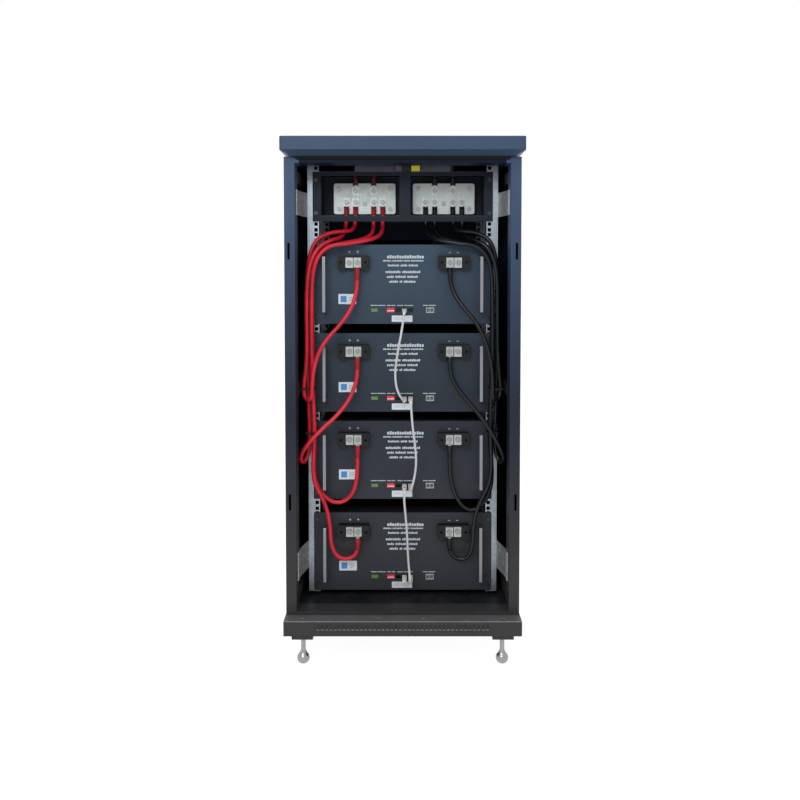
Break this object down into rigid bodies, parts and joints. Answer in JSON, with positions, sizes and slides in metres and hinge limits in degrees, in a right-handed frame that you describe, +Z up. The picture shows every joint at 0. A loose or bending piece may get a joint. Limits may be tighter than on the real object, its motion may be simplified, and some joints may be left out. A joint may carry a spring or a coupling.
{
  "type": "battery rack cabinet",
  "caption": "Open-front 19 inch rack cabinet on levelling feet holding rack-mount battery modules, a busbar drawer and bundled power and data leads.",
  "frame": {"origin": "centre of the footprint on the floor, under the levelling feet", "axes": "+Z up, -Y towards the open front, +X to the right as seen from the front"},
  "size_m": [0.612, 0.6, 1.336],
  "materials": {
    "black_paint": "fine texture powder coat, satin",
    "galvanised": "zinc plated, dull bright",
    "foot_metal": "plated, bright",
    "module_paint": "slate powder coat, satin",
    "handle_metal": "brushed",
    "tin_copper": "tin plated, matt bright",
    "black_plastic": "matt",
    "red_cable": "smooth, slightly glossy",
    "black_cable": "smooth, slightly glossy",
    "white_cable": "smooth",
    "white_plastic": "glossy",
    "red_plastic": "glossy",
    "green_plastic": "translucent lens",
    "insulator": "moulded, satin",
    "cell_case": "film wrapped",
    "board": "solder mask",
    "terminal_yellow": "glossy",
    "bolt_steel": "zinc plated"
  },
  "bodies": {
    "cabinet": {"address_switches": "red_plastic", "base_plinth": "black_paint", "battery_cells": "cell_case", "bms_boards": "board", "busbar_insulators": "insulator", "busbar_negative": "tin_copper", "busbar_positive": "tin_copper", "busbar_tray": "black_paint", "cable_ties": "black_plastic", "comm_lead_1": "white_cable", "comm_lead_2": "white_cable", "comm_lead_3": "white_cable", "comm_plugs": "white_plastic", "comm_sockets": "black_plastic", "floor_panel": "black_paint", "foot_brackets": "black_paint", "front_frame": "black_paint", "module_four_case": "module_paint", "module_four_front": "module_paint", "module_handles": "handle_metal", "module_one_case": "module_paint", "module_one_front": "module_paint", "module_three_case": "module_paint", "module_three_front": "module_paint", "module_two_case": "module_paint", "module_two_front": "module_paint", "negative_lead_1": "black_cable", "negative_lead_2": "black_cable", "negative_lead_3": "black_cable", "negative_lead_4": "black_cable", "output_bar": "galvanised", "output_leads_negative": "black_cable", "output_leads_positive": "red_cable", "output_terminals": "terminal_yellow", "positive_lead_1": "red_cable", "positive_lead_2": "red_cable", "positive_lead_3": "red_cable", "positive_lead_4": "red_cable", "power_bolts": "bolt_steel", "power_lugs": "tin_copper", "rack_screws": "bolt_steel", "rail_carriers": "galvanised", "rail_front_left": "galvanised", "rail_front_right": "galvanised", "rails_rear": "galvanised", "rear_frame": "black_paint", "rear_hinge_pins": "bolt_steel", "soc_displays": "green_plastic", "support_angles": "galvanised", "terminal_blocks": "black_plastic", "terminal_pads": "tin_copper", "top_cover": "black_paint"},
    "body_foot_front_left": {"foot_front_left": "foot_metal"},
    "body_foot_front_right": {"foot_front_right": "foot_metal"},
    "body_foot_rear_left": {"foot_rear_left": "foot_metal"},
    "body_foot_rear_right": {"foot_rear_right": "foot_metal"},
    "body_side_panel_left": {"side_panel_left": "black_paint"},
    "body_side_panel_right": {"side_panel_right": "black_paint"},
    "body_rear_door": {"rear_door": "black_paint"},
    "body_rear_door_handle": {"rear_door_handle": "black_plastic"}
  },
  "joints": [
    {"name": "foot_front_left_adjust", "type": "slide", "parent": "cabinet", "child": "body_foot_front_left", "axis": [0, 0, -1], "range_m": [0, 0.02]},
    {"name": "foot_front_right_adjust", "type": "slide", "parent": "cabinet", "child": "body_foot_front_right", "axis": [0, 0, -1], "range_m": [0, 0.02]},
    {"name": "foot_rear_left_adjust", "type": "slide", "parent": "cabinet", "child": "body_foot_rear_left", "axis": [0, 0, -1], "range_m": [0, 0.02]},
    {"name": "foot_rear_right_adjust", "type": "slide", "parent": "cabinet", "child": "body_foot_rear_right", "axis": [0, 0, -1], "range_m": [0, 0.02]},
    {"name": "side_panel_left_off", "type": "slide", "parent": "cabinet", "child": "body_side_panel_left", "axis": [-1, 0, 0], "range_m": [0, 0.1]},
    {"name": "side_panel_right_off", "type": "slide", "parent": "cabinet", "child": "body_side_panel_right", "axis": [1, 0, 0], "range_m": [0, 0.1]},
    {"name": "rear_door_hinge", "type": "hinge", "parent": "cabinet", "child": "body_rear_door", "pos_m": [-0.297, 0.285, 0.7], "axis": [0, 0, 1], "range_deg": [0, 110]},
    {"name": "rear_door_handle_turn", "type": "hinge", "parent": "body_rear_door", "child": "body_rear_door_handle", "pos_m": [0.26, 0.28, 0.7], "axis": [0, -1, 0], "range_deg": [0, 90]}
  ]
}
